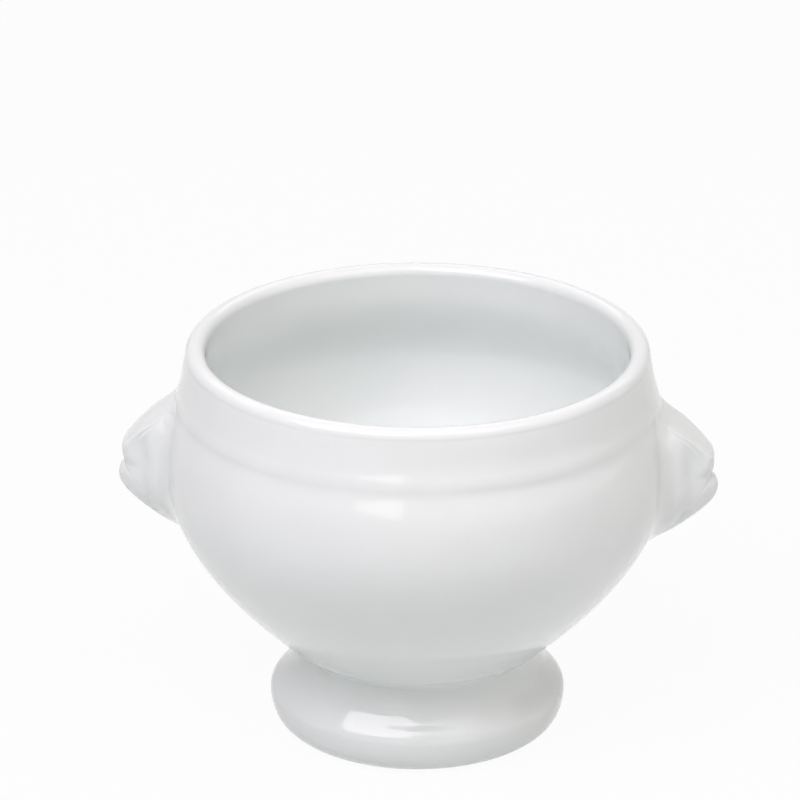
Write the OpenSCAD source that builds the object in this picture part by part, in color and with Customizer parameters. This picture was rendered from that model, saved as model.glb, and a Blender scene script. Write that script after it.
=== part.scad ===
// Footed soup bowl with two lion-head lugs, in white glazed porcelain.
// Z is up, the bowl stands on z = 0, and the heads look along +X and -X.
// Bowl, foot and heads are shaped apart and luted together with thin beds of slip.

/* [Rim and collar] */
// Outside diameter of the lip
rim_d = 114; // [96:1:134]
// Thickness of the lip, which is a full round
lip_t = 5; // [4:0.1:6.5]
// Whole height of the bowl on its foot
bowl_h = 100.6; // [92:0.2:116]
// Height of the collar, from the groove under its bead to the top of the lip
collar_h = 15.5; // [13:0.1:19]
// Height of the bead's sloping face above the groove
bead_rise = 3.3; // [2.4:0.1:4.5]
// How far the bead's face stands out past the lip
bead_out = 1.8; // [1.2:0.1:2.4]
// How far the groove under the bead stands out past the lip
groove_out = 2.45; // [1.8:0.05:3.6]

/* [Belly] */
// How far the belly swells past the lip
belly_out = 5.2; // [4:0.1:10]
// Drop from the groove to the widest part of the belly
belly_drop = 16.1; // [12:0.1:22]
// Wall of the belly at its widest part
wall_t = 5; // [3.5:0.1:7]
// Thickness of the bowl's floor
floor_t = 5.5; // [4:0.1:9]
// Flat part of the bowl's floor, across
floor_d = 30; // [16:1:40]

/* [Foot] */
// Diameter of the seam between bowl and foot
seam_d = 70.8; // [64:0.2:76]
// Height of the seam above the table
seam_h = 25.5; // [22:0.2:30]
// Diameter of the foot's waist
waist_d = 61.7; // [57:0.1:66]
// Height of the waist above the table
waist_h = 20.8; // [17:0.1:23]
// Diameter of the foot at its thick rounded edge
foot_d = 73.7; // [68:0.1:84]
// Height of the foot's widest part
foot_edge_h = 8.4; // [6:0.1:10.5]
// Outside diameter of the bare ring that the foot stands on
stand_d = 60.6; // [57:0.2:66]
// Width of the standing ring
stand_w = 3; // [2:0.1:4]
// Wall of the hollow foot at its waist
foot_wall = 5.15; // [3.5:0.05:7]

/* [Lion heads] */
// Height of a head
head_h = 33.6; // [26:0.2:38]
// Width of a head across its mane
head_w = 21; // [16:0.5:26]
// How far the chin stands out from the belly
head_reach = 11.5; // [8:0.1:16]
// Drop from the groove to the top of a head
head_drop = 0.1; // [0.1:0.1:3]
// Width of the muzzle and the jowls
muzzle_w = 13.2; // [10:0.2:15]
// Width of the chin
chin_w = 8.2; // [6:0.2:10]
// How far the mane stands out from the belly
mane_reach = 4.6; // [2.5:0.1:6]

/* [Slip joints] */
// Thickness of the slip between two luted pieces
slip_t = 0.5; // [0.3:0.05:1]
// Width of the ring of slip between bowl and foot
joint_w = 9.7; // [6:0.1:12]
// How far the slip shows past the piece that it carries
slip_show = 0.3; // [0.1:0.05:0.8]
// Clearance on each face of a slip bed under a head
seat_gap = 0.03; // [0.02:0.01:0.08]

/* [Hidden] */
round_fn = 180;
curve_steps = 12;
glaze_white = [0.93, 0.94, 0.94];
bare_clay = [0.90, 0.88, 0.84];

// Radii and heights that the pieces share
rim_r = rim_d / 2;
lip_r = lip_t / 2;
mouth_r = rim_r - lip_t;
lip_z = bowl_h - lip_r;
groove_r = rim_r + groove_out;
groove_z = bowl_h - collar_h;
bead_r = rim_r + bead_out;
bead_z = groove_z + bead_rise;
belly_r = rim_r + belly_out;
belly_z = groove_z - belly_drop;
seam_r = seam_d / 2;
belly_rise = belly_z - seam_h;
floor_z = seam_h + floor_t;
floor_r = floor_d / 2;
inner_r = belly_r - wall_t;
waist_r = waist_d / 2;
foot_r = foot_d / 2;
stand_r = stand_d / 2;
hollow_r = waist_r - foot_wall;
joint_r = seam_r - joint_w;
foot_top_z = seam_h - slip_t;
foot_top_r = seam_r - slip_show;

// Handles of the outline's curves, as shares of the stretch that each curve spans
belly_start_shares = [0.38, 0.217];
belly_end_share = 0.407;
shoulder_shares = [0.60, 0.186];
bead_shares = [0.27, 0.36];
collar_shares = [0.26, 0.32];
mouth_shares = [0.45, 0.5];
mouth_drop_share = 0.32;
inner_shares = [0.58, 0.5];
swell_top_share = 0.12;
seam_shares = [0.55, 0.4];
foot_flare_shares = [0.64, 0.295];
foot_round_shares = [0.55, 0.70];
hollow_shares = [0.35, 0.35];

// How far the outside leans out for each step down, as a share of the step
lip_lean_share = 0.22;
bead_lean_share = 0.354;
groove_lean_share = 0.05;

// A cubic curve through its two ends and towards its two handles, without its first point
function curve_point(a, b, c, d, t) =
    pow(1 - t, 3) * a + 3 * pow(1 - t, 2) * t * b + 3 * (1 - t) * t * t * c + t * t * t * d;
function curve(a, b, c, d) = [for (i = [1 : curve_steps]) curve_point(a, b, c, d, i / curve_steps)];

// The handle of a point on a leaning stretch of the outside, a rise above it
function leaning(point, lean_share, rise) = [point[0] - lean_share * rise, point[1] + rise];

// Outside of the bowl, from the seam up to the lip
seam_point = [seam_r, seam_h];
belly_point = [belly_r, belly_z];
groove_point = [groove_r, groove_z];
bead_point = [bead_r, bead_z];
lip_point = [rim_r, lip_z];
belly_run = belly_r - seam_r;
collar_run = lip_z - bead_z;
belly_start = [seam_r + belly_start_shares[0] * belly_run, seam_h + belly_start_shares[1] * belly_rise];
belly_end = [belly_r, belly_z - belly_end_share * belly_rise];
shoulder_start = [belly_r, belly_z + shoulder_shares[0] * belly_drop];
shoulder_end = leaning(groove_point, groove_lean_share, -shoulder_shares[1] * belly_drop);
bead_start = leaning(groove_point, groove_lean_share, bead_shares[0] * bead_rise);
bead_end = leaning(bead_point, bead_lean_share, -bead_shares[1] * bead_rise);
collar_start = leaning(bead_point, bead_lean_share, collar_shares[0] * collar_run);
collar_end = leaning(lip_point, lip_lean_share, -collar_shares[1] * collar_run);
outside = concat(
    [seam_point],
    curve(seam_point, belly_start, belly_end, belly_point),
    curve(belly_point, shoulder_start, shoulder_end, groove_point),
    curve(groove_point, bead_start, bead_end, bead_point),
    curve(bead_point, collar_start, collar_end, lip_point));

// The lip's half round, and the inside down to the floor
lip_round = [for (i = [1 : curve_steps])
    let (turn = 180 * i / curve_steps) [rim_r - lip_r + lip_r * cos(turn), lip_z + lip_r * sin(turn)]];
mouth_low = [mouth_r, groove_z + mouth_drop_share * bead_rise];
inner_point = [inner_r, belly_z + swell_top_share * belly_drop];
floor_point = [floor_r, floor_z];
swell_run = mouth_low[1] - inner_point[1];
inner_fall = inner_point[1] - floor_z;
inside = concat(
    [mouth_low],
    curve(mouth_low, [mouth_r, mouth_low[1] - mouth_shares[0] * swell_run],
        [inner_r, inner_point[1] + mouth_shares[1] * swell_run], inner_point),
    curve(inner_point, [inner_r, inner_point[1] - inner_shares[0] * inner_fall],
        [floor_r + inner_shares[1] * (inner_r - floor_r), floor_z], floor_point));

module bowl() {
    color(glaze_white)
    rotate_extrude($fn = round_fn)
    polygon(concat([[0, seam_h]], outside, lip_round, inside, [[0, floor_z]]));
}

// The foot: a waist under the seam, a thick rounded edge, and a hollow that opens downwards
foot_top = [foot_top_r, foot_top_z];
waist_point = [waist_r, waist_h];
edge_point = [foot_r, foot_edge_h];
stand_point = [stand_r, 0];
hollow_start = [stand_r - stand_w, 0];
hollow_end = [hollow_r, waist_h];
neck_run = foot_top_z - waist_h;
flare_run = waist_h - foot_edge_h;
neck_start = [foot_top_r - seam_shares[0] * (foot_top_r - waist_r), foot_top_z - seam_shares[1] * neck_run];
foot_outline = concat(
    [foot_top],
    curve(foot_top, neck_start, [waist_r, waist_h + seam_shares[1] * neck_run], waist_point),
    curve(waist_point, [waist_r, waist_h - foot_flare_shares[0] * flare_run],
        [foot_r, foot_edge_h + foot_flare_shares[1] * flare_run], edge_point),
    curve(edge_point, [foot_r, foot_edge_h * (1 - foot_round_shares[0])],
        [stand_r + foot_round_shares[1] * (foot_r - stand_r), 0], stand_point),
    [hollow_start],
    curve(hollow_start, [hollow_start[0], hollow_shares[0] * waist_h],
        [hollow_r, (1 - hollow_shares[1]) * waist_h], hollow_end),
    [[joint_r, foot_top_z]]);

module pedestal_foot() {
    color(glaze_white)
    rotate_extrude($fn = round_fn)
    polygon(foot_outline);
}

// The ring of slip between bowl and foot, which shows as a fine raised line
module foot_slip_joint() {
    color(bare_clay)
    rotate_extrude($fn = round_fn)
    polygon(concat(
        [[joint_r, foot_top_z], foot_top],
        curve(foot_top, [seam_r, foot_top_z], [seam_r, seam_h], [foot_top_r, seam_h]),
        [[joint_r, seam_h]]));
}

// Lion head: level slices from top to bottom, s = 0 to 1.
// A slice is three blunt ovals joined smoothly, a wide low one for the mane and narrow deep ones for
// nose and chin, with hollows and ridges pressed in by their place on the face.
head_rows = 52;
face_steps = 44;
back_steps = 6;
head_top_z = groove_z - head_drop;
nose_reach_shares = [[0, 0.05], [0.03, 0.16], [0.089, 0.34], [0.149, 0.47], [0.208, 0.61], [0.268, 0.74],
    [0.327, 0.87], [0.357, 0.905], [0.387, 0.913], [0.44, 0.90], [0.476, 0.875], [0.512, 0.835],
    [0.55, 0.83], [0.60, 0.865], [0.65, 0.86], [0.70, 0.84], [0.756, 0.785], [0.83, 0.655],
    [0.92, 0.44], [0.97, 0.27], [1, 0.17]];
nose_width_shares = [[0, 1.03], [0.05, 1.03], [0.10, 0.94], [0.15, 0.83], [0.25, 0.68], [0.33, 0.62],
    [0.40, 0.76], [0.46, 0.89], [0.55, 0.97], [0.65, 1], [0.8, 0.94], [0.92, 0.76], [1, 0.58]];
chin_reach_shares = [[0, 0.01], [0.47, 0.01], [0.495, 0.60], [0.515, 0.84], [0.535, 0.905],
    [0.555, 0.945], [0.58, 0.985], [0.61, 1], [0.655, 1], [0.696, 0.965], [0.756, 0.87], [0.83, 0.68],
    [0.923, 0.45], [0.97, 0.28], [1, 0.18]];
chin_width_shares = [[0, 0.49], [0.46, 0.73], [0.512, 0.83], [0.55, 0.95], [0.62, 1], [0.75, 0.98],
    [0.85, 0.93], [1, 0.73]];
mane_reach_shares = [[0, 0.05], [0.06, 0.12], [0.10, 0.30], [0.15, 0.58], [0.20, 0.76], [0.27, 0.90],
    [0.35, 1], [0.40, 0.95], [0.43, 0.88], [0.48, 0.90], [0.56, 0.96], [0.68, 0.92], [0.8, 0.76],
    [0.9, 0.5], [1, 0.22]];
mane_width_shares = [[0, 0.52], [0.1, 0.70], [0.25, 0.86], [0.45, 0.98], [0.6, 1], [0.75, 0.92],
    [0.9, 0.68], [1, 0.42]];
least_share = 0.01;

// Powers of the ovals, from 2 for a true oval upwards, and of the joins between them
nose_blunts = [[0, 2.4], [0.05, 3], [0.10, 4.5], [0.15, 6], [0.25, 7], [0.34, 7], [0.40, 4.5],
    [0.46, 3.2], [0.55, 3], [0.75, 2.8], [1, 2.3]];
chin_blunt = 2.4;
mane_blunt = 2.8;
snout_join = 9;
mane_join = 5;

// Depths of the hollows and heights of the ridges on the face
brow_groove = 0.5;
corner_hollow = 0.5;
eye_height = 0.3;
mouth_depth = 0.45;
pad_height = 0.4;
pad_hollow = 0.25;
nostril_depth = 0.4;
lip_cleft = 0.25;
jaw_hollow = 0.5;
lock_height = 0.45;

// Where they lie: turn from the middle of the face and its spread, share down the head and its spread.
// The brow's groove and the eye lie by their turn from the brow's edge.
brow_place = [7, 5, 0.21, 0.13];
eye_place = [16, 6, 0.22, 0.03];
corner_place = [78, 10, 0.095, 0.03];
pad_place = [30, 10, 0.435, 0.035];
pad_hollow_place = [36, 12, 0.495, 0.022];
nostril_place = [14, 5, 0.405, 0.02];
cleft_place = [0, 5, 0.465, 0.03];
jaw_place = [40, 9, 0.77, 0.045];
high_lock_place = [66, 9, 0.28, 0.10];
low_lock_place = [66, 9, 0.58, 0.10];
low_lock_share = 0.8;
mouth_level_share = 0.512;
mouth_sag_share = 0.05;
mouth_sag_turn = 25;
mouth_spread_share = 0.018;
mouth_side_turn = 26;

// Value of a table at s, on a smooth curve through its rows
function table_row(t, s, i = 0) = i >= len(t) - 2 || s <= t[i + 1][0] ? i : table_row(t, s, i + 1);
function table_slope(t, i) =
    let (a = max(i - 1, 0), b = min(i + 1, len(t) - 1)) (t[b][1] - t[a][1]) / (t[b][0] - t[a][0]);
function at(t, s) =
    let (i = table_row(t, s), span = t[i + 1][0] - t[i][0], u = (s - t[i][0]) / span)
    (2 * pow(u, 3) - 3 * u * u + 1) * t[i][1] + (pow(u, 3) - 2 * u * u + u) * span * table_slope(t, i)
    + (3 * u * u - 2 * pow(u, 3)) * t[i + 1][1] + (pow(u, 3) - u * u) * span * table_slope(t, i + 1);

// A soft bump of height 1 at a place, which falls away over a spread
function bump(v, place, spread) = exp(-pow((v - place) / spread, 2));
function spot(side, s, place) = bump(side, place[0], place[1]) * bump(s, place[2], place[3]);

// Distance from the middle of a slice to a blunt oval, in the direction turn
function oval(turn, reach, half, blunt) =
    pow(pow(abs(cos(turn)) / reach, blunt) + pow(abs(sin(turn)) / half, blunt), -1 / blunt);

// Hollows and ridges: side is 0 at the middle of the face and 90 at the mane's edge
function mouth_share(side) = mouth_level_share + mouth_sag_share * pow(side / mouth_sag_turn, 2);
function face_relief(side, s, brow) =
    eye_height * spot(side - brow, s, eye_place)
    - brow_groove * spot(side - brow, s, brow_place)
    - corner_hollow * spot(side, s, corner_place)
    - mouth_depth * bump(s, mouth_share(side), mouth_spread_share) * bump(side, 0, mouth_side_turn)
    + pad_height * spot(side, s, pad_place)
    - pad_hollow * spot(side, s, pad_hollow_place)
    - nostril_depth * spot(side, s, nostril_place)
    - lip_cleft * spot(side, s, cleft_place)
    - jaw_hollow * spot(side, s, jaw_place)
    + lock_height * (spot(side, s, high_lock_place) + low_lock_share * spot(side, s, low_lock_place));

// Sizes of a slice: reach and half width of mane, nose and chin, and how blunt the nose is
function slice(s) = [
    max(at(mane_reach_shares, s), least_share) * mane_reach, at(mane_width_shares, s) * head_w / 2,
    max(at(nose_reach_shares, s), least_share) * head_reach, at(nose_width_shares, s) * muzzle_w / 2,
    max(at(chin_reach_shares, s), least_share) * head_reach, at(chin_width_shares, s) * chin_w / 2,
    at(nose_blunts, s)];
function head_radius(turn, s, cut) =
    let (mane = oval(turn, cut[0], cut[1], mane_blunt),
        nose = oval(turn, cut[2], cut[3], cut[6]),
        chin = oval(turn, cut[4], cut[5], chin_blunt),
        snout = pow(pow(nose, snout_join) + pow(chin, snout_join), 1 / snout_join))
    pow(pow(mane, mane_join) + pow(snout, mane_join), 1 / mane_join)
    + face_relief(abs(turn), s, atan2(cut[3], cut[2]));

// The bowl's own outside at a height, and its depth at a place across the head
bowl_radii = [for (p = outside) [p[1], p[0]]];
function bowl_x(y, z) = sqrt(pow(lookup(z, bowl_radii), 2) - y * y);

// A closed solid through rings of points that all have the same number of points
module ring_solid(rings) {
    count = len(rings[0]);
    last = len(rings) - 1;
    faces = concat(
        [for (r = [0 : last - 1]) for (i = [0 : count - 1]) let (j = (i + 1) % count)
            [r * count + i, r * count + j, (r + 1) * count + i]],
        [for (r = [0 : last - 1]) for (i = [0 : count - 1]) let (j = (i + 1) % count)
            [r * count + j, (r + 1) * count + j, (r + 1) * count + i]],
        [[for (i = [count - 1 : -1 : 0]) i]],
        [[for (i = [0 : count - 1]) last * count + i]]);
    polyhedron([for (ring = rings) for (p = ring) p], faces);
}

// A ring of a head: the face from side to side, then its back on the slip
head_back = slip_t + 2 * seat_gap;
function head_point(turn, s, cut, z) =
    let (r = head_radius(turn, s, cut), y = r * sin(turn)) [bowl_x(y, z) + head_back + r * cos(turn), y, z];
function head_ring(s) =
    let (cut = slice(s), z = head_top_z - s * head_h, half = head_radius(90, s, cut))
    concat(
        [for (i = [0 : face_steps]) head_point(90 - 180 * i / face_steps, s, cut, z)],
        [for (i = [1 : back_steps - 1])
            let (y = half * (2 * i / back_steps - 1)) [bowl_x(y, z) + head_back, y, z]]);

module lion_head() {
    color(glaze_white)
    ring_solid([for (i = [0 : head_rows]) head_ring(i / head_rows)]);
}

// The slip bed under a head, which runs out a little past the head's edge
slip_rows = 24;
slip_steps = 8;
function slip_ring(s) =
    let (z = head_top_z - s * head_h, half = head_radius(90, s, slice(s)) + slip_show)
    concat(
        [for (i = [0 : slip_steps])
            let (y = half * (1 - 2 * i / slip_steps)) [bowl_x(y, z) + seat_gap + slip_t, y, z]],
        [for (i = [0 : slip_steps])
            let (y = half * (2 * i / slip_steps - 1)) [bowl_x(y, z) + seat_gap, y, z]]);

module lion_slip() {
    color(bare_clay)
    ring_solid([for (i = [0 : slip_rows]) slip_ring(i / slip_rows)]);
}

module lion_head_right() {
    lion_head();
}

module lion_head_left() {
    mirror([1, 0, 0]) lion_head();
}

module lion_slip_right() {
    lion_slip();
}

module lion_slip_left() {
    mirror([1, 0, 0]) lion_slip();
}

bowl();
pedestal_foot();
foot_slip_joint();
lion_head_left();
lion_head_right();
lion_slip_left();
lion_slip_right();
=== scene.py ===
"""Footed soup bowl with lion-head lugs, in white glazed porcelain: looks, light and camera."""
import math

import bmesh
import bpy
import numpy as np
from mathutils import Matrix, Vector


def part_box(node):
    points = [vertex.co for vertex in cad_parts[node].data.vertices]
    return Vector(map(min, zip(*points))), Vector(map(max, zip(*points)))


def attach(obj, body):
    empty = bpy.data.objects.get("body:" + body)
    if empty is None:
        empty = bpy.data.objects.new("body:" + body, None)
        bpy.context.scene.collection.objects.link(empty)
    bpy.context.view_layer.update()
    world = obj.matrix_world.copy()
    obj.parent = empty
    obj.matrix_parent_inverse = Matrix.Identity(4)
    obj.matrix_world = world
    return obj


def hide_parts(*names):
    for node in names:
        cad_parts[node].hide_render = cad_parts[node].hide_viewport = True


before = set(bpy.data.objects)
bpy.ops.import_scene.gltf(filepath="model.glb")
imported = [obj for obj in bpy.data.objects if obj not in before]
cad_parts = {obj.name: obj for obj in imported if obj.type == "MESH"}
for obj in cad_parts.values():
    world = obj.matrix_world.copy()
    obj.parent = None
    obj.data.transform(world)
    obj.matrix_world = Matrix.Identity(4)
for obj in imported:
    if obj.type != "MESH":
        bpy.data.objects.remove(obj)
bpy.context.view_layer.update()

MM = 0.001

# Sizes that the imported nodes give
bowl_low, bowl_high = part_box("bowl")
foot_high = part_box("pedestal_foot")[1]
BOWL_H = bowl_high.z
BELLY_R = bowl_high.x
SEAM_H = bowl_low.z
FOOT_R = foot_high.x
FOOT_TOP = foot_high.z

# Sizes that the outline adds to them
RIM_R = 57.0 * MM
LIP_R = 2.5 * MM
BEAD_R = 58.8 * MM
BEAD_H = 89.2 * MM
GROOVE_R = 59.45 * MM
GROOVE_H = 85.9 * MM
BELLY_H = 69.0 * MM
WALL = 5.0 * MM
FLOOR_T = 5.5 * MM
FLOOR_R = 15.0 * MM
SEAM_R = 35.4 * MM
SEAM_STEP_H = 3.0 * MM
SEAM_STEP_W = 4.0 * MM
NECK_R = 35.1 * MM
WAIST_R = 30.85 * MM
WAIST_H = 20.8 * MM
EDGE_H = 8.4 * MM
STAND_R = 30.3 * MM
STAND_W = 3.0 * MM
HOLLOW_R = 25.7 * MM
CORNER = 0.5 * MM
SLIP_CREST = 0.12 * MM

# How far the outline leans out for each step down, at the lip, on the bead's face and in the groove
LIP_LEAN = 0.22
BEAD_LEAN = 0.30
GROOVE_LEAN = 0.05

# Where the handles of the outline's stretches lie, as shares of the run between their ends
BELLY_LOW_SHARES = (0.38, 0.217, 0.407)
BELLY_HIGH_SHARES = (0.60, 0.186)
BEAD_SHARES = (0.27, 0.36)
COLLAR_SHARES = (0.26, 0.32)
MOUTH_SHARES = (0.42, 0.32)
INSIDE_SHARES = (0.48, 0.5)
NECK_SHARES = (0.46, 0.42, 0.33)
WAIST_SHARES = (0.64, 0.295)
EDGE_SHARES = (0.45, 0.70)
HOLLOW_SHARES = (0.35, 0.65)
# The handle's share of a quarter circle's side
ROUND_SHARE = 0.5523

# How far from belly to groove the inside is widest, and how far from bead to lip the mouth's straight ends
INNER_SHARE = 0.32
MOUTH_LOW_SHARE = 0.5
# How much of the belly's first stretch and of the neck's stretch the slip takes up
SEAM_CUT_SHARE = 0.042
NECK_CUT_SHARE = 0.24

# Fineness of the round pieces
STEPS_AROUND = 256
BOWL_STEPS = 30
FOOT_STEPS = 20
SLIP_STEPS = 10
SHARP_ANGLE = math.radians(40)
WELD_DISTANCE = 0.002 * MM


def lerp(a, b, share):
    """The value a share of the way from a to b."""
    return a + (b - a) * share


# Outlines: rows of cubic stretches, each of four (radius, height) points

def outline_curve(name, stretches):
    """A curve object in the XZ plane from cubic stretches of four (radius, height) points each."""
    data = bpy.data.curves.new(name, "CURVE")
    data.dimensions = "3D"
    spline = data.splines.new("BEZIER")
    spline.bezier_points.add(len(stretches))
    for point in spline.bezier_points:
        point.handle_left_type = point.handle_right_type = "FREE"
    for start, stretch in enumerate(stretches):
        a, out_handle, in_handle, b = (Vector((r, 0, z)) for r, z in stretch)
        here, after = spline.bezier_points[start], spline.bezier_points[start + 1]
        here.co, here.handle_right = a, out_handle
        after.co, after.handle_left = b, in_handle
        if start == 0:
            here.handle_left = a
    after.handle_right = after.co
    outline = bpy.data.objects.new(name, data)
    bpy.context.scene.collection.objects.link(outline)
    return outline


def straight(a, b):
    """A stretch that runs straight from a to b."""
    return (a, (lerp(a[0], b[0], 1 / 3), lerp(a[1], b[1], 1 / 3)),
            (lerp(a[0], b[0], 2 / 3), lerp(a[1], b[1], 2 / 3)), b)


def corner(a, b, c, size):
    """The stretch of a round corner at b, between the ways to a and c."""
    toward_a = Vector(a) - Vector(b)
    toward_c = Vector(c) - Vector(b)
    start = Vector(b) + toward_a.normalized() * size
    end = Vector(b) + toward_c.normalized() * size
    handles = (end_point.lerp(Vector(b), ROUND_SHARE) for end_point in (start, end))
    return tuple(map(tuple, (start, *handles, end)))


def split(stretch, share):
    """The two stretches that a cubic stretch falls into at a share of its run."""
    a, b, c, d = (Vector(point) for point in stretch)
    ab, bc, cd = a.lerp(b, share), b.lerp(c, share), c.lerp(d, share)
    abc, bcd = ab.lerp(bc, share), bc.lerp(cd, share)
    middle = abc.lerp(bcd, share)
    return [tuple(map(tuple, half)) for half in ((a, ab, abc, middle), (middle, bcd, cd, d))]


def leaning(point, lean, rise):
    """The handle of a point on a leaning stretch of the outside, that far above it."""
    return (point[0] - lean * rise, point[1] + rise)


FLOOR_H = SEAM_H + FLOOR_T
LIP_H = BOWL_H - LIP_R
LIP_TOP_R = RIM_R - LIP_R
MOUTH_R = RIM_R - 2 * LIP_R
MOUTH_LOW = lerp(BEAD_H, LIP_H, MOUTH_LOW_SHARE)
INNER_R = BELLY_R - WALL
INNER_H = lerp(BELLY_H, GROOVE_H, INNER_SHARE)
LIP_ROUND_H = lerp(LIP_H, BOWL_H, ROUND_SHARE)

seam = (SEAM_R, SEAM_H)
belly = (BELLY_R, BELLY_H)
groove = (GROOVE_R, GROOVE_H)
bead = (BEAD_R, BEAD_H)
lip_out = (RIM_R, LIP_H)
lip_top = (LIP_TOP_R, BOWL_H)
lip_in = (MOUTH_R, LIP_H)
mouth = (MOUTH_R, MOUTH_LOW)
inner = (INNER_R, INNER_H)
floor_edge = (FLOOR_R, FLOOR_H)

outside_stretches = [
    (seam, (lerp(SEAM_R, BELLY_R, BELLY_LOW_SHARES[0]), lerp(SEAM_H, BELLY_H, BELLY_LOW_SHARES[1])),
     (BELLY_R, lerp(BELLY_H, SEAM_H, BELLY_LOW_SHARES[2])), belly),
    (belly, (BELLY_R, lerp(BELLY_H, GROOVE_H, BELLY_HIGH_SHARES[0])),
     leaning(groove, GROOVE_LEAN, BELLY_HIGH_SHARES[1] * (BELLY_H - GROOVE_H)), groove),
    (groove, leaning(groove, GROOVE_LEAN, BEAD_SHARES[0] * (BEAD_H - GROOVE_H)),
     leaning(bead, BEAD_LEAN, BEAD_SHARES[1] * (GROOVE_H - BEAD_H)), bead),
    (bead, leaning(bead, BEAD_LEAN, COLLAR_SHARES[0] * (LIP_H - BEAD_H)),
     leaning(lip_out, LIP_LEAN, COLLAR_SHARES[1] * (BEAD_H - LIP_H)), lip_out),
]
neck = (NECK_R, FOOT_TOP)
waist = (WAIST_R, WAIST_H)
edge = (FOOT_R, EDGE_H)
stand = (STAND_R, 0)
hollow_low = (STAND_R - STAND_W, 0)
hollow_mid = (HOLLOW_R, WAIST_H)
hollow_top = (HOLLOW_R, FOOT_TOP)
neck_stretch = (neck, (lerp(NECK_R, WAIST_R, NECK_SHARES[0]), lerp(FOOT_TOP, WAIST_H, NECK_SHARES[1])),
                (WAIST_R, lerp(WAIST_H, FOOT_TOP, NECK_SHARES[2])), waist)

# The slip takes the first part of the belly and of the neck, with a hidden step behind it
seam_cut = split(outside_stretches[0], SEAM_CUT_SHARE)
neck_cut = split(neck_stretch, NECK_CUT_SHARE)
ridge_high, ridge_low = seam_cut[1][0], neck_cut[1][0]
inside_wall = (SEAM_R, SEAM_H + SEAM_STEP_H)
inside_seam = (SEAM_R - SEAM_STEP_W, SEAM_H)
inside_neck = (SEAM_R - SEAM_STEP_W, FOOT_TOP)

bowl_outline = outline_curve("bowl_outline", [
    straight((0, SEAM_H), inside_seam),
    straight(inside_seam, inside_wall),
    straight(inside_wall, ridge_high),
    seam_cut[1],
    *outside_stretches[1:],
    (lip_out, (RIM_R, LIP_ROUND_H), (lerp(LIP_TOP_R, RIM_R, ROUND_SHARE), BOWL_H), lip_top),
    (lip_top, (lerp(LIP_TOP_R, MOUTH_R, ROUND_SHARE), BOWL_H), (MOUTH_R, LIP_ROUND_H), lip_in),
    straight(lip_in, mouth),
    (mouth, (MOUTH_R, lerp(MOUTH_LOW, INNER_H, MOUTH_SHARES[0])),
     (INNER_R, lerp(INNER_H, MOUTH_LOW, MOUTH_SHARES[1])), inner),
    (inner, (INNER_R, lerp(INNER_H, FLOOR_H, INSIDE_SHARES[0])),
     (lerp(FLOOR_R, INNER_R, INSIDE_SHARES[1]), FLOOR_H), floor_edge),
    straight(floor_edge, (0, FLOOR_H)),
])

stand_corner = corner(stand, hollow_low, (hollow_low[0], WAIST_H), CORNER)
foot_outline = outline_curve("foot_outline", [
    straight(hollow_top, inside_neck),
    straight(inside_neck, ridge_low),
    neck_cut[1],
    (waist, (WAIST_R, lerp(WAIST_H, EDGE_H, WAIST_SHARES[0])),
     (FOOT_R, lerp(EDGE_H, WAIST_H, WAIST_SHARES[1])), edge),
    (edge, (FOOT_R, EDGE_H * EDGE_SHARES[0]), (lerp(STAND_R, FOOT_R, EDGE_SHARES[1]), 0), stand),
    straight(stand, stand_corner[0]),
    stand_corner,
    (stand_corner[3], (hollow_low[0], HOLLOW_SHARES[0] * WAIST_H),
     (HOLLOW_R, HOLLOW_SHARES[1] * WAIST_H), hollow_mid),
    straight(hollow_mid, hollow_top),
])

# The slip shows as a fine raised line that runs out into the belly above it and the neck below it
slip_low = (HOLLOW_R, FOOT_TOP)
slip_high = (HOLLOW_R, SEAM_H)
low_half, high_half = split((ridge_low, neck_cut[0][2], seam_cut[0][1], ridge_high), 0.5)
slip_way = (Vector(high_half[1]) - Vector(low_half[2])).normalized()
raised = Vector((slip_way.y, -slip_way.x)) * SLIP_CREST
crest_low, crest, crest_high = (tuple(Vector(point) + raised)
                                for point in (low_half[2], low_half[3], high_half[1]))
slip_outline = outline_curve("slip_outline", [
    straight(slip_low, inside_neck),
    straight(inside_neck, ridge_low),
    (*low_half[:2], crest_low, crest),
    (crest, crest_high, *high_half[2:]),
    straight(ridge_high, inside_wall),
    straight(inside_wall, inside_seam),
    straight(inside_seam, slip_high),
    straight(slip_high, slip_low),
])


# Round pieces: an outline turned about the Z axis

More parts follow.
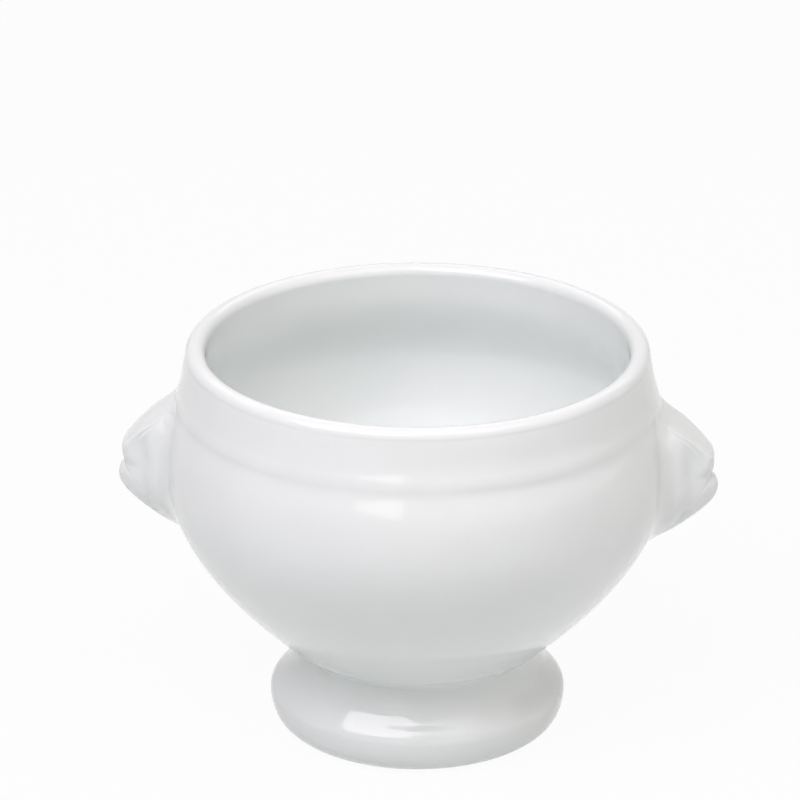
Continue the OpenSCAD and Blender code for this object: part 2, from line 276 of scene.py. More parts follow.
def turning_tree():
    """Geometry nodes that turn an outline in the XZ plane about the Z axis into a closed smooth skin."""
    tree = bpy.data.node_groups.new("turned_outline", "GeometryNodeTree")
    sockets = tree.interface
    for name, kind in (("Outline", "Object"), ("Steps around", "Int"), ("Steps a stretch", "Int"),
                       ("Sharp angle", "Float"), ("Weld distance", "Float"), ("Material", "Material")):
        sockets.new_socket(name, in_out="INPUT", socket_type=f"NodeSocket{kind}")
    sockets.new_socket("Skin", in_out="OUTPUT", socket_type="NodeSocketGeometry")

    def add(kind, settings=None, links=None):
        node = tree.nodes.new(kind)
        for key, value in (settings or {}).items():
            setattr(node, key, value)
        for key, value in (links or {}).items():
            if isinstance(value, bpy.types.NodeSocket):
                tree.links.new(value, node.inputs[key])
            else:
                node.inputs[key].default_value = value
        return node

    def math_node(operation, first, second):
        return add("ShaderNodeMath", {"operation": operation}, {0: first, 1: second}).outputs[0]

    given = add("NodeGroupInput").outputs
    outline = add("GeometryNodeObjectInfo", None, {"Object": given["Outline"]}).outputs["Geometry"]
    fine = add("GeometryNodeSetSplineResolution", None,
               {"Geometry": outline, "Resolution": given["Steps a stretch"]}).outputs[0]
    points = add("GeometryNodeCurveToPoints", {"mode": "EVALUATED"}, {"Curve": fine}).outputs["Points"]
    count = add("GeometryNodeAttributeDomainSize", {"component": "POINTCLOUD"},
                {"Geometry": points}).outputs["Point Count"]
    columns = math_node("ADD", given["Steps around"], 1)
    grid = add("GeometryNodeMeshGrid", None, {"Vertices X": columns, "Vertices Y": count}).outputs["Mesh"]
    index = add("GeometryNodeInputIndex").outputs[0]
    row = math_node("MODULO", index, count)
    column = math_node("FLOOR", math_node("DIVIDE", index, count), 0)
    place = add("GeometryNodeInputPosition").outputs[0]
    sample = add("GeometryNodeSampleIndex", {"data_type": "FLOAT_VECTOR", "domain": "POINT"},
                 {"Geometry": points, "Value": place, "Index": row}).outputs[0]
    turn = math_node("MULTIPLY", math_node("DIVIDE", column, given["Steps around"]), math.tau)
    turned = add("ShaderNodeVectorRotate", {"rotation_type": "Z_AXIS"},
                 {"Vector": sample, "Angle": turn}).outputs[0]
    skin = add("GeometryNodeSetPosition", None, {"Geometry": grid, "Position": turned}).outputs[0]
    skin = add("GeometryNodeMergeByDistance", None,
               {"Geometry": skin, "Distance": given["Weld distance"]}).outputs[0]
    bend = add("GeometryNodeInputMeshEdgeAngle").outputs["Unsigned Angle"]
    sharp = math_node("GREATER_THAN", bend, given["Sharp angle"])
    skin = add("GeometryNodeSetShadeSmooth", {"domain": "FACE"},
               {"Geometry": skin, "Shade Smooth": True}).outputs[0]
    skin = add("GeometryNodeSetShadeSmooth", {"domain": "EDGE"},
               {"Geometry": skin, "Selection": sharp, "Shade Smooth": False}).outputs[0]
    skin = add("GeometryNodeRealizeInstances", None, {"Geometry": skin}).outputs[0]
    skin = add("GeometryNodeSetMaterial", None,
               {"Geometry": skin, "Material": given["Material"]}).outputs[0]
    add("NodeGroupOutput", None, {"Skin": skin})
    return tree


def outward(mesh):
    """Turns the faces of a closed mesh outwards."""
    shell = bmesh.new()
    shell.from_mesh(mesh)
    bmesh.ops.recalc_face_normals(shell, faces=shell.faces)
    shell.to_mesh(mesh)
    shell.free()


def turned_piece(name, tree, outline, material, stretch_steps):
    """A plain mesh piece from an outline that the node tree turns about the Z axis."""
    piece = bpy.data.objects.new(name, bpy.data.meshes.new(name))
    bpy.context.scene.collection.objects.link(piece)
    modifier = piece.modifiers.new("turned", "NODES")
    modifier.node_group = tree
    values = {"Outline": outline, "Steps around": STEPS_AROUND, "Steps a stretch": stretch_steps,
              "Sharp angle": SHARP_ANGLE, "Weld distance": WELD_DISTANCE, "Material": material}
    for item in tree.interface.items_tree:
        if item.item_type == "SOCKET" and item.in_out == "INPUT":
            modifier[item.identifier] = values[item.name]
    seen = piece.evaluated_get(bpy.context.evaluated_depsgraph_get())
    mesh = bpy.data.meshes.new_from_object(seen)
    piece.modifiers.remove(modifier)
    piece.data = mesh
    mesh.name = name
    outward(mesh)
    return piece


# Shader sums

class Wire:
    """A socket of a shader tree that takes part in Python sums, which add the Math nodes they need."""

    def __init__(self, tree, socket=None):
        self.tree = tree
        self.socket = socket

    def node(self, kind, settings=None, sockets=None, out=0):
        """A node of that kind: its settings are set first, then its sockets take values or wires."""
        made = self.tree.nodes.new(kind)
        for key, value in (settings or {}).items():
            setattr(made, key, value)
        for key, value in (sockets or {}).items():
            if isinstance(value, Wire):
                self.tree.links.new(value.socket, made.inputs[key])
            else:
                made.inputs[key].default_value = value
        return Wire(self.tree, made.outputs[out]) if made.outputs else made

    def math(self, operation, first, second):
        """A Math node on two wires or numbers."""
        return self.node("ShaderNodeMath", {"operation": operation}, {0: first, 1: second})

    def __add__(self, other):
        return self.math("ADD", self, other)

    def __radd__(self, other):
        return self.math("ADD", other, self)

    def __sub__(self, other):
        return self.math("SUBTRACT", self, other)

    def __rsub__(self, other):
        return self.math("SUBTRACT", other, self)

    def __mul__(self, other):
        return self.math("MULTIPLY", self, other)

    def __rmul__(self, other):
        return self.math("MULTIPLY", other, self)

    def step(self, low, high):
        """0 below low, 1 above high and a soft step between them."""
        return self.node("ShaderNodeMapRange", {"interpolation_type": "SMOOTHSTEP"},
                         {"Value": self, "From Min": low, "From Max": high})

    def mix(self, low, high):
        """The colour low where this wire is 0, and high where it is 1."""
        return self.node("ShaderNodeMix", {"data_type": "RGBA"}, {"Factor": self, 6: low, 7: high}, out=2)


# Glaze: its colours, how fine its clouds, grain, waves and specks are, and how strongly they show
WHITE_SHADE = (0.823, 0.858, 0.845, 1)
WHITE_LIGHT = (0.841, 0.877, 0.864, 1)
# Hollows are painted this cooler, darker colour: partly glaze that pools there, partly painted shade in
# creases and recesses.
POOL_AND_SHADE_COLOUR = (0.72, 0.775, 0.762, 1)
SPECK_COLOUR = (0.235, 0.215, 0.190, 1)
CLAY_SHADE = (0.730, 0.700, 0.640, 1)
CLAY_LIGHT = (0.820, 0.795, 0.745, 1)
CLOUD_NOISE = {"Scale": 38.0, "Detail": 3.0}
GRAIN_NOISE = {"Scale": 900.0, "Detail": 2.0}
WAVE_NOISE = {"Scale": 70.0, "Detail": 1.0}
SPECK_CELLS = {"Scale": 150.0, "Randomness": 1.0}
CLOUD_STEP = (0.3, 0.7)
SPECK_EDGE = (0.014, 0.034)
SPECK_CHANCE = (0.972, 0.975)
POOL_AND_SHADE_SHOW = 0.5
SPECK_SHOW = 0.5
BARE_EDGE = (0.35 * MM, 0.55 * MM)
BARE_RAGGED = 0.5 * MM
GLOSS_ROUGHNESS = 0.008
CLOUD_ROUGHNESS = 0.014
BARE_ROUGHNESS = 0.55
WAVE_BUMP = {"Strength": 0.03, "Distance": 0.3 * MM}
GRAIN_BUMP = {"Strength": 0.25, "Distance": 0.03 * MM}
SPECK_DENT = 0.5
GLAZE_IOR = 1.52


def glaze_material(name):
    """Clear gloss glaze over white porcelain: a little wavy, cooler and darker in hollows, partly where it
    pools and partly as painted shade, bare under the foot.
    """
    material = bpy.data.materials.new(name)
    material.use_nodes = True
    tree = material.node_tree
    tree.nodes.clear()
    start = Wire(tree)
    place = start.node("ShaderNodeTexCoord", out="Object")
    height = start.node("ShaderNodeSeparateXYZ", None, {"Vector": place}, out="Z")
    pool_and_shade_mark = start.node("ShaderNodeAttribute", {"attribute_name": "pool_and_shade"}, out="Fac")

    cloud, grain, sway = (start.node("ShaderNodeTexNoise", None, {"Vector": place, **noise})
                          for noise in (CLOUD_NOISE, GRAIN_NOISE, WAVE_NOISE))
    cell = {"feature": "F1", "distance": "EUCLIDEAN"}
    spots = {"Vector": place, **SPECK_CELLS}
    spot_reach = start.node("ShaderNodeTexVoronoi", cell, spots, out="Distance")
    spot_draw = start.node("ShaderNodeSeparateColor", None,
                           {"Color": start.node("ShaderNodeTexVoronoi", cell, spots, out="Color")}, out=0)
    speck = (1 - spot_reach.step(*SPECK_EDGE)) * spot_draw.step(*SPECK_CHANCE)
    bare = 1 - (height + (grain - 0.5) * BARE_RAGGED).step(*BARE_EDGE)

    white = cloud.step(*CLOUD_STEP).mix(WHITE_SHADE, WHITE_LIGHT)
    # Hollows turn cooler and darker: partly pooled glaze, partly painted shade.
    pool_and_shade_white = (pool_and_shade_mark * POOL_AND_SHADE_SHOW).mix(white, POOL_AND_SHADE_COLOUR)
    marked = (speck * SPECK_SHOW).mix(pool_and_shade_white, SPECK_COLOUR)
    colour = bare.mix(marked, grain.mix(CLAY_SHADE, CLAY_LIGHT))
    roughness = GLOSS_ROUGHNESS + cloud * CLOUD_ROUGHNESS + bare * BARE_ROUGHNESS
    wave = start.node("ShaderNodeBump", None, {"Height": sway, **WAVE_BUMP})
    surface = start.node("ShaderNodeBump", None, {
        "Height": grain * bare - speck * SPECK_DENT, "Normal": wave, **GRAIN_BUMP})
    shader = start.node("ShaderNodeBsdfPrincipled", None, {
        "Base Color": colour, "Roughness": roughness, "Normal": surface, "IOR": GLAZE_IOR})
    start.node("ShaderNodeOutputMaterial", None, {"Surface": shader})
    return material


glaze = glaze_material("white_glaze")
slip_glaze = glaze_material("glazed_slip")

turning = turning_tree()
bowl = turned_piece("bowl_body", turning, bowl_outline, glaze, BOWL_STEPS)
foot = turned_piece("foot_body", turning, foot_outline, glaze, FOOT_STEPS)
foot_slip = turned_piece("foot_slip_line", turning, slip_outline, slip_glaze, SLIP_STEPS)
for outline in (bowl_outline, foot_outline, slip_outline):
    bpy.data.objects.remove(outline)


# Lion heads: level slices from s = 0 at the brow to 1 at the throat, each a few blunt ovals joined
# smoothly. The tails past brow and throat run out into the bowl's skin.
HEAD_TOP = 85.0 * MM
HEAD_H = 33.6 * MM
HEAD_W = 21.0 * MM
HEAD_REACH = 11.42 * MM
HEAD_SEAT = 0.56 * MM
MANE_REACH = 4.6 * MM
LEAST_REACH = 0.01 * MM
SKIN_SINK = 0.4 * MM
TAIL_TOP = -0.06
TAIL_LOW = 1.14
MANE_BLUNT = 2.8
CHIN_BLUNT = 2.4
SNOUT_JOIN = 9
HEAD_JOIN = 4

# Fineness of the heads, the slack in telling brow and throat, and the bend past which an edge is sharp
HEAD_ROWS = 240
TURN_STEPS = 360
FACE_STEPS = 90
FILLET_STEPS = 16
BODY_STEPS = 200
ROW_SLACK = 1e-6
HEAD_SHARP_ANGLE = math.radians(50)

# Rows of slice and value: reaches as shares of HEAD_REACH or MANE_REACH, the mane's half width as a share
# of half HEAD_W, the seat as a share of HEAD_SEAT, other half widths and the fillet's rise and run in mm
NOSE_REACH = [
    (-0.06, 0.001), (-0.03, 0.003), (0, 0.02), (0.03, 0.085), (0.075, 0.215), (0.12, 0.35),
    (0.16, 0.455), (0.208, 0.575), (0.268, 0.725), (0.304, 0.80), (0.327, 0.855), (0.357, 0.90),
    (0.387, 0.913), (0.44, 0.90), (0.476, 0.875), (0.512, 0.835), (0.55, 0.83), (0.60, 0.865),
    (0.65, 0.86), (0.70, 0.84), (0.756, 0.785), (0.83, 0.655), (0.92, 0.44), (0.97, 0.27),
    (1, 0.17), (1.05, 0.06), (1.1, 0.015), (1.14, 0.001)]
NOSE_HALF = [
    (-0.06, 7.2), (0.05, 7.8), (0.10, 7.7), (0.15, 7.4), (0.22, 6.6), (0.28, 5.9), (0.33, 5.5),
    (0.38, 5.5), (0.43, 5.8), (0.50, 6.2), (0.55, 6.4), (0.65, 6.6), (0.8, 6.2), (0.92, 5.0),
    (1, 3.8), (1.14, 2.2)]
NOSE_BLUNT = [
    (-0.06, 2.4), (0, 2.4), (0.05, 3.0), (0.10, 4.5), (0.15, 6.0), (0.25, 7.0), (0.34, 7.0),
    (0.40, 4.5), (0.46, 3.2), (0.55, 3.0), (0.75, 2.8), (1, 2.3), (1.14, 2.2)]
CHIN_REACH = [
    (-0.06, 0.001), (0.47, 0.01), (0.495, 0.60), (0.515, 0.84), (0.535, 0.905), (0.555, 0.945),
    (0.58, 0.985), (0.61, 1), (0.655, 1), (0.696, 0.965), (0.756, 0.87), (0.83, 0.68),
    (0.923, 0.45), (0.97, 0.28), (1, 0.18), (1.05, 0.065), (1.1, 0.015), (1.14, 0.001)]
CHIN_HALF = [
    (-0.06, 2.0), (0.46, 3.0), (0.512, 3.4), (0.55, 3.9), (0.62, 4.1), (0.75, 4.0), (0.85, 3.8),
    (1, 3.0), (1.14, 2.0)]
MANE_REACH_SHARE = [
    (-0.06, 0.002), (0, 0.05), (0.06, 0.12), (0.10, 0.30), (0.15, 0.58), (0.20, 0.76),
    (0.27, 0.90), (0.35, 0.98), (0.40, 0.965), (0.43, 0.945), (0.48, 0.945), (0.56, 0.96),
    (0.68, 0.92), (0.8, 0.76), (0.9, 0.5), (1, 0.22), (1.05, 0.08), (1.1, 0.02), (1.14, 0.002)]
MANE_HALF = [
    (-0.06, 0.62), (0, 0.68), (0.05, 0.78), (0.1, 0.84), (0.2, 0.90), (0.3, 0.94), (0.45, 0.99),
    (0.6, 1), (0.75, 0.92), (0.9, 0.68), (1, 0.42), (1.14, 0.22)]
SEAT_SHARE = [
    (-0.06, 0), (-0.03, 0.12), (0, 0.4), (0.04, 1), (0.5, 1), (0.95, 1), (1, 0.6), (1.05, 0.2),
    (1.1, 0.03), (1.14, 0)]
FILLET_RISE = [(-0.06, 0.5), (0.1, 1.6), (0.3, 2.4), (0.5, 2.8), (0.9, 2.4), (1.14, 0.6)]
FILLET_RUN = [
    (-0.06, 1.0), (0.1, 3.4), (0.3, 5.4), (0.7, 6.0), (0.9, 4.6), (1.0, 2.8), (1.14, 1.2)]

# Shares of the fillet: its most rise on a low slice, its upper handle by its rise, and where it lies flat
FILLET_RISE_SHARE = 0.6
FILLET_HANDLE_SHARE = 0.45
FILLET_FLAT_SHARE = 0.5
FILLET_SINK = 0.01 * MM

# Marks of the face: height in millimetres, then place and spread by turn in degrees and by slice.
# The brow's turn counts from the brow's edge.
BROW_GROOVE = (-0.40, 6, 3.4, 0.18, 0.13)
FACE_MARKS = {
    "mane corner": (-0.60, 83, 6, 0.12, 0.05),
    "muzzle": (0.20, 30, 12, 0.435, 0.045),
    "lip corner": (-0.12, 36, 12, 0.500, 0.030),
    "nostril": (-0.35, 14, 5, 0.405, 0.018),
    "furrow under the nose": (-0.25, 0, 4, 0.465, 0.030),
    "jaw": (-0.60, 48, 10, 0.78, 0.042),
    "high lock": (0.35, 66, 10, 0.28, 0.11),
    "low lock": (0.28, 66, 10, 0.58, 0.11),
}
# The mouth's line sinks from its level at the middle by the sag at the sag's turn
MOUTH_DEPTH = 0.40
MOUTH_LEVEL = 0.512
MOUTH_SPREAD = 0.014
MOUTH_TURN = 26
MOUTH_SAG = 0.05
MOUTH_SAG_TURN = 25


def at(table, s):
    """A table's value at s, on a smooth curve through its rows."""
    places, values = (np.array(column, float) for column in zip(*table))
    slopes = np.empty_like(values)
    slopes[1:-1] = (values[2:] - values[:-2]) / (places[2:] - places[:-2])
    slopes[0] = (values[1] - values[0]) / (places[1] - places[0])
    slopes[-1] = (values[-1] - values[-2]) / (places[-1] - places[-2])
    row = np.clip(np.searchsorted(places, s) - 1, 0, len(places) - 2)
    span = places[row + 1] - places[row]
    u = (s - places[row]) / span
    return ((2 * u**3 - 3 * u**2 + 1) * values[row] + (u**3 - 2 * u**2 + u) * span * slopes[row]
            + (3 * u**2 - 2 * u**3) * values[row + 1] + (u**3 - u**2) * span * slopes[row + 1])


def bump(value, place, spread):
    """A soft bump of height 1 at a place."""
    return np.exp(-((value - place) / spread) ** 2)


def spot(side, s, mark):
    """One mark of the face in millimetres: a soft bump by turn and by slice."""
    height, turn_place, turn_spread, slice_place, slice_spread = mark
    return height * bump(side, turn_place, turn_spread) * bump(s, slice_place, slice_spread)


def oval(turn, reach, half, blunt):
    """Distance from the middle of a slice to a blunt oval, in the direction turn."""
    reach = np.maximum(reach, LEAST_REACH)
    inverse = (np.abs(np.cos(turn)) / reach) ** blunt + (np.abs(np.sin(turn)) / half) ** blunt
    return inverse ** (-1 / blunt)


def face_relief(side, s, brow_side):
    """Hollows and ridges of the face in metres: side is 0 at its middle and 90 at the mane's edge."""
    mouth_line = MOUTH_LEVEL + MOUTH_SAG * (side / MOUTH_SAG_TURN) ** 2
    mouth_cut = MOUTH_DEPTH * bump(s, mouth_line, MOUTH_SPREAD) * bump(side, 0, MOUTH_TURN)
    marks = sum(spot(side, s, mark) for mark in FACE_MARKS.values())
    return MM * (spot(side - brow_side, s, BROW_GROOVE) - mouth_cut + marks)


def head_radius(turn, s):
    """Distance from the middle of slice s to the face, in the direction turn (in radians)."""
    nose_reach, nose_half = at(NOSE_REACH, s) * HEAD_REACH, at(NOSE_HALF, s) * MM
    mane = oval(turn, at(MANE_REACH_SHARE, s) * MANE_REACH, at(MANE_HALF, s) * HEAD_W / 2, MANE_BLUNT)
    nose = oval(turn, nose_reach, nose_half, at(NOSE_BLUNT, s))
    chin = oval(turn, at(CHIN_REACH, s) * HEAD_REACH, at(CHIN_HALF, s) * MM, CHIN_BLUNT)
    snout = (nose**SNOUT_JOIN + chin**SNOUT_JOIN) ** (1 / SNOUT_JOIN)
    brow_side = np.degrees(np.arctan2(nose_half, np.maximum(nose_reach, LEAST_REACH)))
    joined = (mane**HEAD_JOIN + snout**HEAD_JOIN) ** (1 / HEAD_JOIN)
    return joined + face_relief(np.degrees(turn), s, brow_side)


def stretch_points(stretch, count):
    """Points along one cubic stretch, as rows of two numbers."""
    t = np.linspace(0, 1, count)[:, None]
    a, b, c, d = (np.array(p, float) for p in stretch)
    return (1 - t)**3 * a + 3 * (1 - t)**2 * t * b + 3 * (1 - t) * t**2 * c + t**3 * d


body_line = np.concatenate([stretch_points(stretch, BODY_STEPS) for stretch in outside_stretches])


def body_x(y, z):
    """How far out the bowl's skin lies at a place across a head."""
    return np.sqrt(np.interp(z, body_line[:, 1], body_line[:, 0]) ** 2 - y**2)


def half_slice(s):
    """Half of slice s from the middle of the face outwards: the face's points, then those of its fillet."""
    turn = np.radians(np.linspace(0, 90, TURN_STEPS + 1))
    far = head_radius(turn, s)
    across = np.append(far * np.sin(turn), far[-1])
    out = np.append(far * np.cos(turn) + at(SEAT_SHARE, s) * HEAD_SEAT, 0)
    rise = min(at(FILLET_RISE, s) * MM, FILLET_RISE_SHARE * out.max())
    above = np.nonzero(out >= rise)[0][-1]
    share = (out[above] - rise) / (out[above] - out[above + 1])
    join = np.array([lerp(across[above], across[above + 1], share), rise])
    way = np.array([across[above + 1] - across[above - 1], out[above + 1] - out[above - 1]])
    end = np.array([far[-1] + at(FILLET_RUN, s) * MM, -FILLET_SINK])
    face = np.append(np.stack([across, out], axis=-1)[:above + 1], [join], axis=0)
    gone = np.append(0, np.cumsum(np.hypot(*np.diff(face, axis=0).T)))
    even = np.linspace(0, gone[-1], FACE_STEPS + 1)
    face = np.stack([np.interp(even, gone, face[:, 0]), np.interp(even, gone, face[:, 1])], axis=-1)
    handle = join + way / np.hypot(*way) * FILLET_HANDLE_SHARE * rise
    flat = np.array([lerp(join[0], end[0], FILLET_FLAT_SHARE), 0.0])
    fillet = stretch_points((join, handle, flat, end), FILLET_STEPS + 1)
    return np.concatenate([face, fillet[1:]])


# The skin of the right head and its fillet as one grid, front and back, a row for each slice
rows = np.linspace(TAIL_TOP, TAIL_LOW, HEAD_ROWS + 1)
halves = np.stack([half_slice(s) for s in rows])
skin = np.concatenate([halves[:, :0:-1] * (-1, 1), halves], axis=1)
skin_y, skin_out = skin[..., 0], skin[..., 1]
skin_z = np.broadcast_to(HEAD_TOP - rows[:, None] * HEAD_H, skin_y.shape)
step = np.abs(np.arange(skin.shape[1]) - halves.shape[1] + 1)
face_back_y = np.sign(skin_y) * halves[:, FACE_STEPS, :1] * step / FACE_STEPS
back_y = np.where(step <= FACE_STEPS, face_back_y, skin_y)
skin_front = np.stack([body_x(skin_y, skin_z) + skin_out, skin_y, skin_z], axis=-1)
skin_back = np.stack([body_x(back_y, skin_z) - SKIN_SINK, back_y, skin_z], axis=-1)
on_face = ((rows >= -ROW_SLACK) & (rows <= 1 + ROW_SLACK))[:, None] & (step <= FACE_STEPS)
face_quads = on_face[:-1, :-1] & on_face[1:, :-1] & on_face[:-1, 1:] & on_face[1:, 1:]


def skin_piece(name, keep, material, side):
    """A closed mesh of the kept squares of the skin and their backs, on the left where side is -1."""
    count = skin_y.size
    number = np.arange(count).reshape(skin_y.shape)
    front = np.stack([number[:-1, :-1], number[:-1, 1:], number[1:, 1:], number[1:, :-1]], axis=-1)[keep]
    start, end = front.ravel(), np.roll(front, -1, axis=1).ravel()
    rim = ~np.isin(start * count + end, end * count + start)
    walls = np.stack([end[rim], start[rim], start[rim] + count, end[rim] + count], axis=-1)
    faces = np.concatenate([front, front[:, ::-1] + count, walls])
    used, faces = np.unique(faces, return_inverse=True)
    places = np.concatenate([skin_front.reshape(-1, 3), skin_back.reshape(-1, 3)])[used] * (side, 1, 1)
    mesh = bpy.data.meshes.new(name)
    mesh.from_pydata(places.tolist(), [], faces.reshape(-1, 4).tolist())
    mesh.materials.append(material)
    outward(mesh)
    mesh.shade_smooth()
    mesh.set_sharp_from_angle(angle=HEAD_SHARP_ANGLE)
    piece = bpy.data.objects.new(name, mesh)
    bpy.context.scene.collection.objects.link(piece)
    return piece


head_right = skin_piece("lion_face_right", face_quads, glaze, 1)
head_left = skin_piece("lion_face_left", face_quads, glaze, -1)
fillet_right = skin_piece("lion_fillet_right", ~face_quads, slip_glaze, 1)
fillet_left = skin_piece("lion_fillet_left", ~face_quads, slip_glaze, -1)


# Hollows get a soft mark from how far each point lies below its neighbours: the glaze turns cooler and
# darker there, partly as glaze that pools and partly as painted shade.
# The mark is full at these curvatures in 1/m, and it is evened out over neighbours a few times.
FULL_POOL_AND_SHADE = 900.0
FULL_FILLET_POOL_AND_SHADE = 2500.0
POOL_AND_SHADE_PASSES = 6
LEAST_LENGTH2 = 1e-12


def mark_pools_and_shade(piece, full):
    """Writes the attribute that marks hollows for pooled glaze and painted shade: 1 where the skin is as
    hollow as full, a curvature in 1/m.
    """
    mesh = piece.data
    places = np.empty(len(mesh.vertices) * 3)
    mesh.vertices.foreach_get("co", places)
    places = places.reshape(-1, 3)
    normals = np.empty(len(mesh.vertices) * 3)
    mesh.vertices.foreach_get("normal", normals)
    normals = normals.reshape(-1, 3)
    edges = np.empty(len(mesh.edges) * 2, int)
    mesh.edges.foreach_get("vertices", edges)
    a, b = edges.reshape(-1, 2).T
    gap = places[b] - places[a]
    length2 = np.maximum((gap**2).sum(axis=1), LEAST_LENGTH2)
    hollow = np.zeros(len(places))
    count = np.zeros(len(places))
    for here, way in ((a, gap), (b, -gap)):
        np.add.at(hollow, here, 2 * (normals[here] * way).sum(axis=1) / length2)
        np.add.at(count, here, 1)
    hollow /= np.maximum(count, 1)
    for _ in range(POOL_AND_SHADE_PASSES):
        total = hollow.copy()
        np.add.at(total, a, hollow[b])
        np.add.at(total, b, hollow[a])
        hollow = total / (count + 1)
    mark = np.clip(hollow / full, 0, 1)
    mesh.attributes.new("pool_and_shade", "FLOAT", "POINT").data.foreach_set("value", mark.astype(np.float32))


dressed = {
    bowl: ("bowl", "white_glaze"),
    foot: ("pedestal_foot", "white_glaze"),
    foot_slip: ("foot_slip_joint", "slip"),
    head_right: ("lion_head_right", "white_glaze"),
    head_left: ("lion_head_left", "white_glaze"),
    fillet_right: ("lion_slip_right", "slip"),
    fillet_left: ("lion_slip_left", "slip"),
}
for piece, (node, slot) in dressed.items():
    # Hollows are marked for pooled glaze and painted shade; the fillets' tight coves get a weaker mark.
    mark_pools_and_shade(piece, FULL_FILLET_POOL_AND_SHADE if piece in (fillet_right, fillet_left) else FULL_POOL_AND_SHADE)
    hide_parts(node)
    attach(piece, "root")


# Floor and backdrop: white for the camera and in reflections, with a trace of the bowl's shadow
TABLE_COLOUR = (0.725, 0.749, 0.738, 1)
TABLE_HALF = 4.0
TABLE_GAP = 0.02 * MM
TABLE_WHITE_SHARE = 0.95
PLAIN_WHITE = (1, 1, 1, 1)
ROOM_COLOUR = (0.97, 1.0, 0.98, 1)
ROOM_GLOW = 0.02


def straight_look(start):
    """1 for what the camera sees, also mirrored or through glass, and 0 for scattered light."""
    camera_ray, glossy_ray, clear_ray = (start.node("ShaderNodeLightPath", out=f"Is {kind} Ray")
                                         for kind in ("Camera", "Glossy", "Transmission"))
    return start.math("MAXIMUM", camera_ray, start.math("MAXIMUM", glossy_ray, clear_ray))


def stage_material():
    """A white floor that the camera and reflections see as nearly plain white."""
    material = bpy.data.materials.new("white_floor")
    material.use_nodes = True
    tree = material.node_tree
    tree.nodes.clear()
    start = Wire(tree)
    lit = start.node("ShaderNodeBsdfDiffuse", None, {"Color": TABLE_COLOUR})
    plain = start.node("ShaderNodeEmission", None, {"Color": PLAIN_WHITE, "Strength": 1.0})
    shader = start.node("ShaderNodeMixShader", None, {
        0: straight_look(start) * TABLE_WHITE_SHARE, 1: lit, 2: plain})
    start.node("ShaderNodeOutputMaterial", None, {"Surface": shader})
    return material


def plane(name, half, z, material):
    """A level square."""
    mesh = bpy.data.meshes.new(name)
    corners = [(-half, -half, z), (half, -half, z), (half, half, z), (-half, half, z)]
    mesh.from_pydata(corners, [], [(0, 1, 2, 3)])
    mesh.materials.append(material)
    made = bpy.data.objects.new(name, mesh)
    bpy.context.scene.collection.objects.link(made)
    return made


# The floor lies a hair below the standing ring, so that the two don't share a plane
table_top = plane("table_top", TABLE_HALF, -TABLE_GAP, stage_material())

world = bpy.data.worlds.new("studio")
world.use_nodes = True
world.node_tree.nodes.clear()
sky = Wire(world.node_tree)
room = sky.node("ShaderNodeBackground", None, {"Color": ROOM_COLOUR, "Strength": ROOM_GLOW})
paper = sky.node("ShaderNodeBackground", None, {"Color": PLAIN_WHITE, "Strength": 1.0})
backdrop = sky.node("ShaderNodeMixShader", None, {0: straight_look(sky), 1: room, 2: paper})
sky.node("ShaderNodeOutputWorld", None, {"Surface": backdrop})
bpy.context.scene.world = world

# Lamps round a point in the bowl: their azimuth is 0 on the viewer's side and 90 on the right
LIGHT_AIM = Vector((0, 0, 0.06))
PANEL_DISTANCE = 1.5
CARD_DISTANCE = 1.6
WHITE = (1.0, 1.0, 1.0)
COOL = (1.0, 0.946, 0.995)
WARM = (1.0, 0.945, 0.915)


def toward(azimuth, elevation):
    """The direction from the bowl at an azimuth and elevation in degrees."""
    a, e = math.radians(azimuth), math.radians(elevation)
    return Vector((math.sin(a) * math.cos(e), -math.cos(a) * math.cos(e), math.sin(e)))


def softbox(name, azimuth, elevation, width, height, brightness, colour):
    """A lamp panel that faces the bowl: brightness 1 is white."""
    lamp = bpy.data.lights.new(name, "AREA")
    lamp.shape = "RECTANGLE"
    lamp.size, lamp.size_y = width, height
    lamp.energy = math.pi * width * height * brightness
    lamp.color = colour
    way = toward(azimuth, elevation)
    panel = bpy.data.objects.new(name, lamp)
    panel.location = LIGHT_AIM + way * PANEL_DISTANCE
    panel.rotation_euler = way.to_track_quat("Z", "Y").to_euler()
    bpy.context.scene.collection.objects.link(panel)


# Each panel's azimuth and elevation in degrees, width and height in metres, brightness and colour
softbox("high_panel", 3, 72, 2.2, 1.1, 1.12, COOL)
softbox("top_panel", 3, 89, 0.7, 0.7, 0.3, COOL)
softbox("right_panel", 65, 45, 1.6, 1.3, 0.84, WARM)
softbox("right_low_panel", 73, 9, 3.8, 0.6, 0.54, WARM)
softbox("back_panel", 183, 48, 1.8, 0.8, 1.0, WARM)
softbox("front_low_panel", 3, 25, 1.6, 0.5, 0.34, COOL)


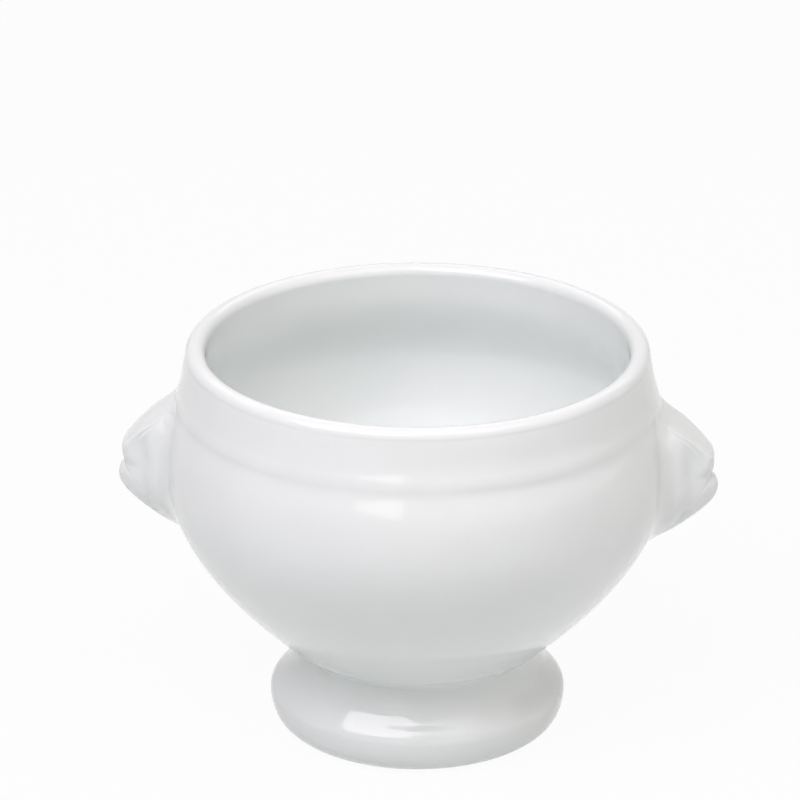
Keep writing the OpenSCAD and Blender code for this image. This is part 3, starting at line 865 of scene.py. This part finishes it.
def card(name, corners, brightness, colour):
    """A glowing card that the camera doesn't see, from the azimuths and elevations of its corners."""
    material = bpy.data.materials.new(name)
    material.use_nodes = True
    material.node_tree.nodes.clear()
    start = Wire(material.node_tree)
    glow = start.node("ShaderNodeEmission", None, {"Color": (*colour, 1), "Strength": brightness})
    start.node("ShaderNodeOutputMaterial", None, {"Surface": glow})
    places = [LIGHT_AIM + toward(azimuth, elevation) * CARD_DISTANCE for azimuth, elevation in corners]
    mesh = bpy.data.meshes.new(name)
    mesh.from_pydata(places, [], [range(len(places))])
    mesh.materials.append(material)
    made = bpy.data.objects.new(name, mesh)
    made.visible_camera = False
    bpy.context.scene.collection.objects.link(made)


# The key card gives the glint on the foot, and the front card the one on the belly below the groove
KEY_CARD_CORNERS = [(-58.2, 31.5), (-9.8, 38.4), (21.5, 63), (-78.2, 49.3)]
KEY_CARD_GLOW = 5.3
FRONT_CARD_CORNERS = [
    (-24, 8.2), (-23, 12), (-12, 12.5), (-4, 12), (-3.2, 10), (-3.1, 6.5), (-3.5, 4.9), (-4.6, 4.2),
    (-12, 5.6), (-17.5, 7.1), (-20.5, 7.7)]
FRONT_CARD_GLOW = 2.8
card("key_card", KEY_CARD_CORNERS, KEY_CARD_GLOW, COOL)
card("front_card", FRONT_CARD_CORNERS, FRONT_CARD_GLOW, WHITE)

# Camera: its angles in degrees, its distance from a point on the bowl's axis, and that point's height
PITCH = 22.341
TURN = 3.2
YAW = 0.213
DISTANCE = 1.2667
AIM_H = 85.3 * MM
FOCAL_PIXELS = 5151.3
FRAME_PIXELS = 800
SENSOR_WIDTH = 36.0
CLIP_END = 20.0

camera_data = bpy.data.cameras.new("camera")
camera_data.sensor_width = SENSOR_WIDTH
camera_data.lens = FOCAL_PIXELS * SENSOR_WIDTH / FRAME_PIXELS
camera_data.clip_end = CLIP_END
camera = bpy.data.objects.new("camera", camera_data)
bpy.context.scene.collection.objects.link(camera)
back = toward(TURN, PITCH)
forward = Matrix.Rotation(math.radians(YAW), 3, "Z") @ -back
right = forward.cross(Vector((0, 0, 1))).normalized()
up = right.cross(forward)
pose = Matrix((right, up, -forward)).transposed().to_4x4()
pose.translation = Vector((0, 0, AIM_H)) + back * DISTANCE
camera.matrix_world = pose
bpy.context.scene.camera = camera
bpy.context.scene.view_settings.view_transform = "Standard"
